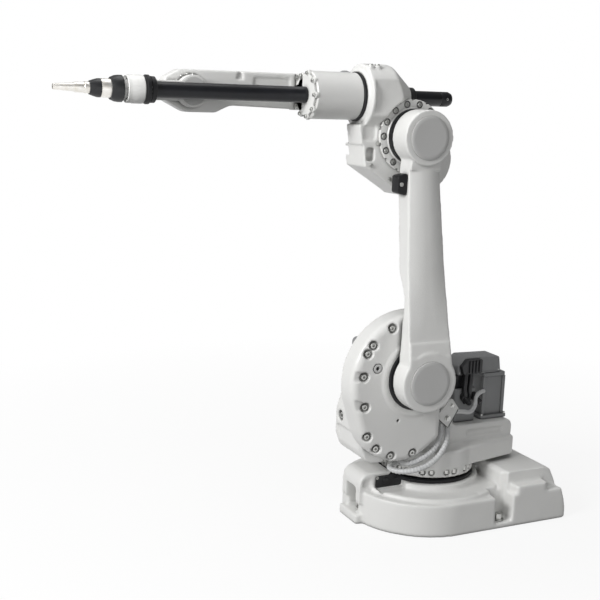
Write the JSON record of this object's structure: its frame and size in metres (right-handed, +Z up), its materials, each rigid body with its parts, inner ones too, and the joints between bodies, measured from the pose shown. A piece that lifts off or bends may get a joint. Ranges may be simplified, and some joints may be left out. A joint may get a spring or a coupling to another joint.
{
  "type": "industrial robot arm",
  "caption": "Floor-standing six-axis welding robot arm with hollow wrist, side-mounted lower arm, level forearm, conduit and torch.",
  "frame": {"origin": "on the first joint's vertical axis, at the underside of the base where it meets the floor", "axes": "+X forward, the way the forearm points; +Y to the arm's left, where the lower arm is; +Z up, along the first joint's axis"},
  "size_m": [1.569, 0.492, 1.3895],
  "materials": {
    "painted_grey": "satin light grey paint on cast aluminium",
    "motor_grey": "satin mid grey paint",
    "cap_grey": "fine moulded matt grey",
    "machined_steel": "turned steel",
    "seal_rubber": "matt black rubber",
    "connector_black": "matt black moulding",
    "conduit_black": "smooth black hose with a soft sheen",
    "conduit_silver": "light grey cable sleeve",
    "nozzle_steel": "plated nozzle"
  },
  "bodies": {
    "base": {"base_casting": "painted_grey", "axis_1_gearbox": "machined_steel"},
    "turret": {"turret_casting": "painted_grey", "shoulder_cover": "painted_grey", "shoulder_seal": "seal_rubber", "shoulder_gearbox": "machined_steel", "axis_1_motor": "motor_grey", "axis_1_motor_cap": "motor_grey", "axis_2_motor": "motor_grey", "axis_2_motor_cap": "motor_grey", "connector_block": "connector_black", "motor_plugs": "connector_black", "cable_clamp": "motor_grey", "cable_conduits": "conduit_silver", "motor_lead": "conduit_silver"},
    "lower_arm": {"lower_arm_casting": "painted_grey", "shoulder_cap": "cap_grey", "elbow_cap": "cap_grey", "stop_bumper": "seal_rubber"},
    "upper_arm": {"upper_arm_housing": "painted_grey", "elbow_gearbox": "painted_grey", "axis_3_gear_case": "painted_grey", "axis_3_motor": "motor_grey", "axis_4_motor": "motor_grey", "hose_clamp": "connector_black", "rear_hose": "conduit_black"},
    "forearm": {"roll_seal": "seal_rubber", "roll_drum": "painted_grey", "drum_flange": "painted_grey", "forearm_beam": "painted_grey", "beam_cover": "painted_grey", "tilt_gearbox_cover": "painted_grey", "tilt_bearing": "machined_steel", "front_conduit": "conduit_black", "flexible_conduit": "conduit_black"},
    "wrist": {"tilt_bracket": "painted_grey", "tilt_hub_cover": "cap_grey", "wrist_collar": "seal_rubber"},
    "tool": {"turning_disc": "painted_grey", "torch_spacer": "cap_grey", "torch_body": "connector_black", "torch_collar": "painted_grey", "torch_cone": "connector_black", "torch_neck": "painted_grey", "gas_nozzle": "nozzle_steel"}
  },
  "joints": [
    {"name": "axis_1", "type": "hinge", "parent": "base", "child": "turret", "pos_m": [0, 0, 0.152], "axis": [0, 0, 1], "range_deg": [-180, 180]},
    {"name": "axis_2", "type": "hinge", "parent": "turret", "child": "lower_arm", "pos_m": [0.15, 0, 0.4865], "axis": [0, 1, 0], "range_deg": [-90, 110]},
    {"name": "axis_3", "type": "hinge", "parent": "lower_arm", "child": "upper_arm", "pos_m": [0.15, 0, 1.1865], "axis": [0, -1, 0], "range_deg": [-79, 210]},
    {"name": "axis_4", "type": "hinge", "parent": "upper_arm", "child": "forearm", "pos_m": [0.3063, 0, 1.2965], "axis": [1, 0, 0], "range_deg": [-155, 155]},
    {"name": "axis_5", "type": "hinge", "parent": "forearm", "child": "wrist", "pos_m": [0.79, 0, 1.2965], "axis": [0, -1, 0], "range_deg": [-135, 90], "deforming": ["flexible_conduit"]},
    {"name": "axis_6", "type": "hinge", "parent": "wrist", "child": "tool", "pos_m": [0.943, 0, 1.2965], "axis": [1, 0, 0], "range_deg": [-200, 200]}
  ]
}
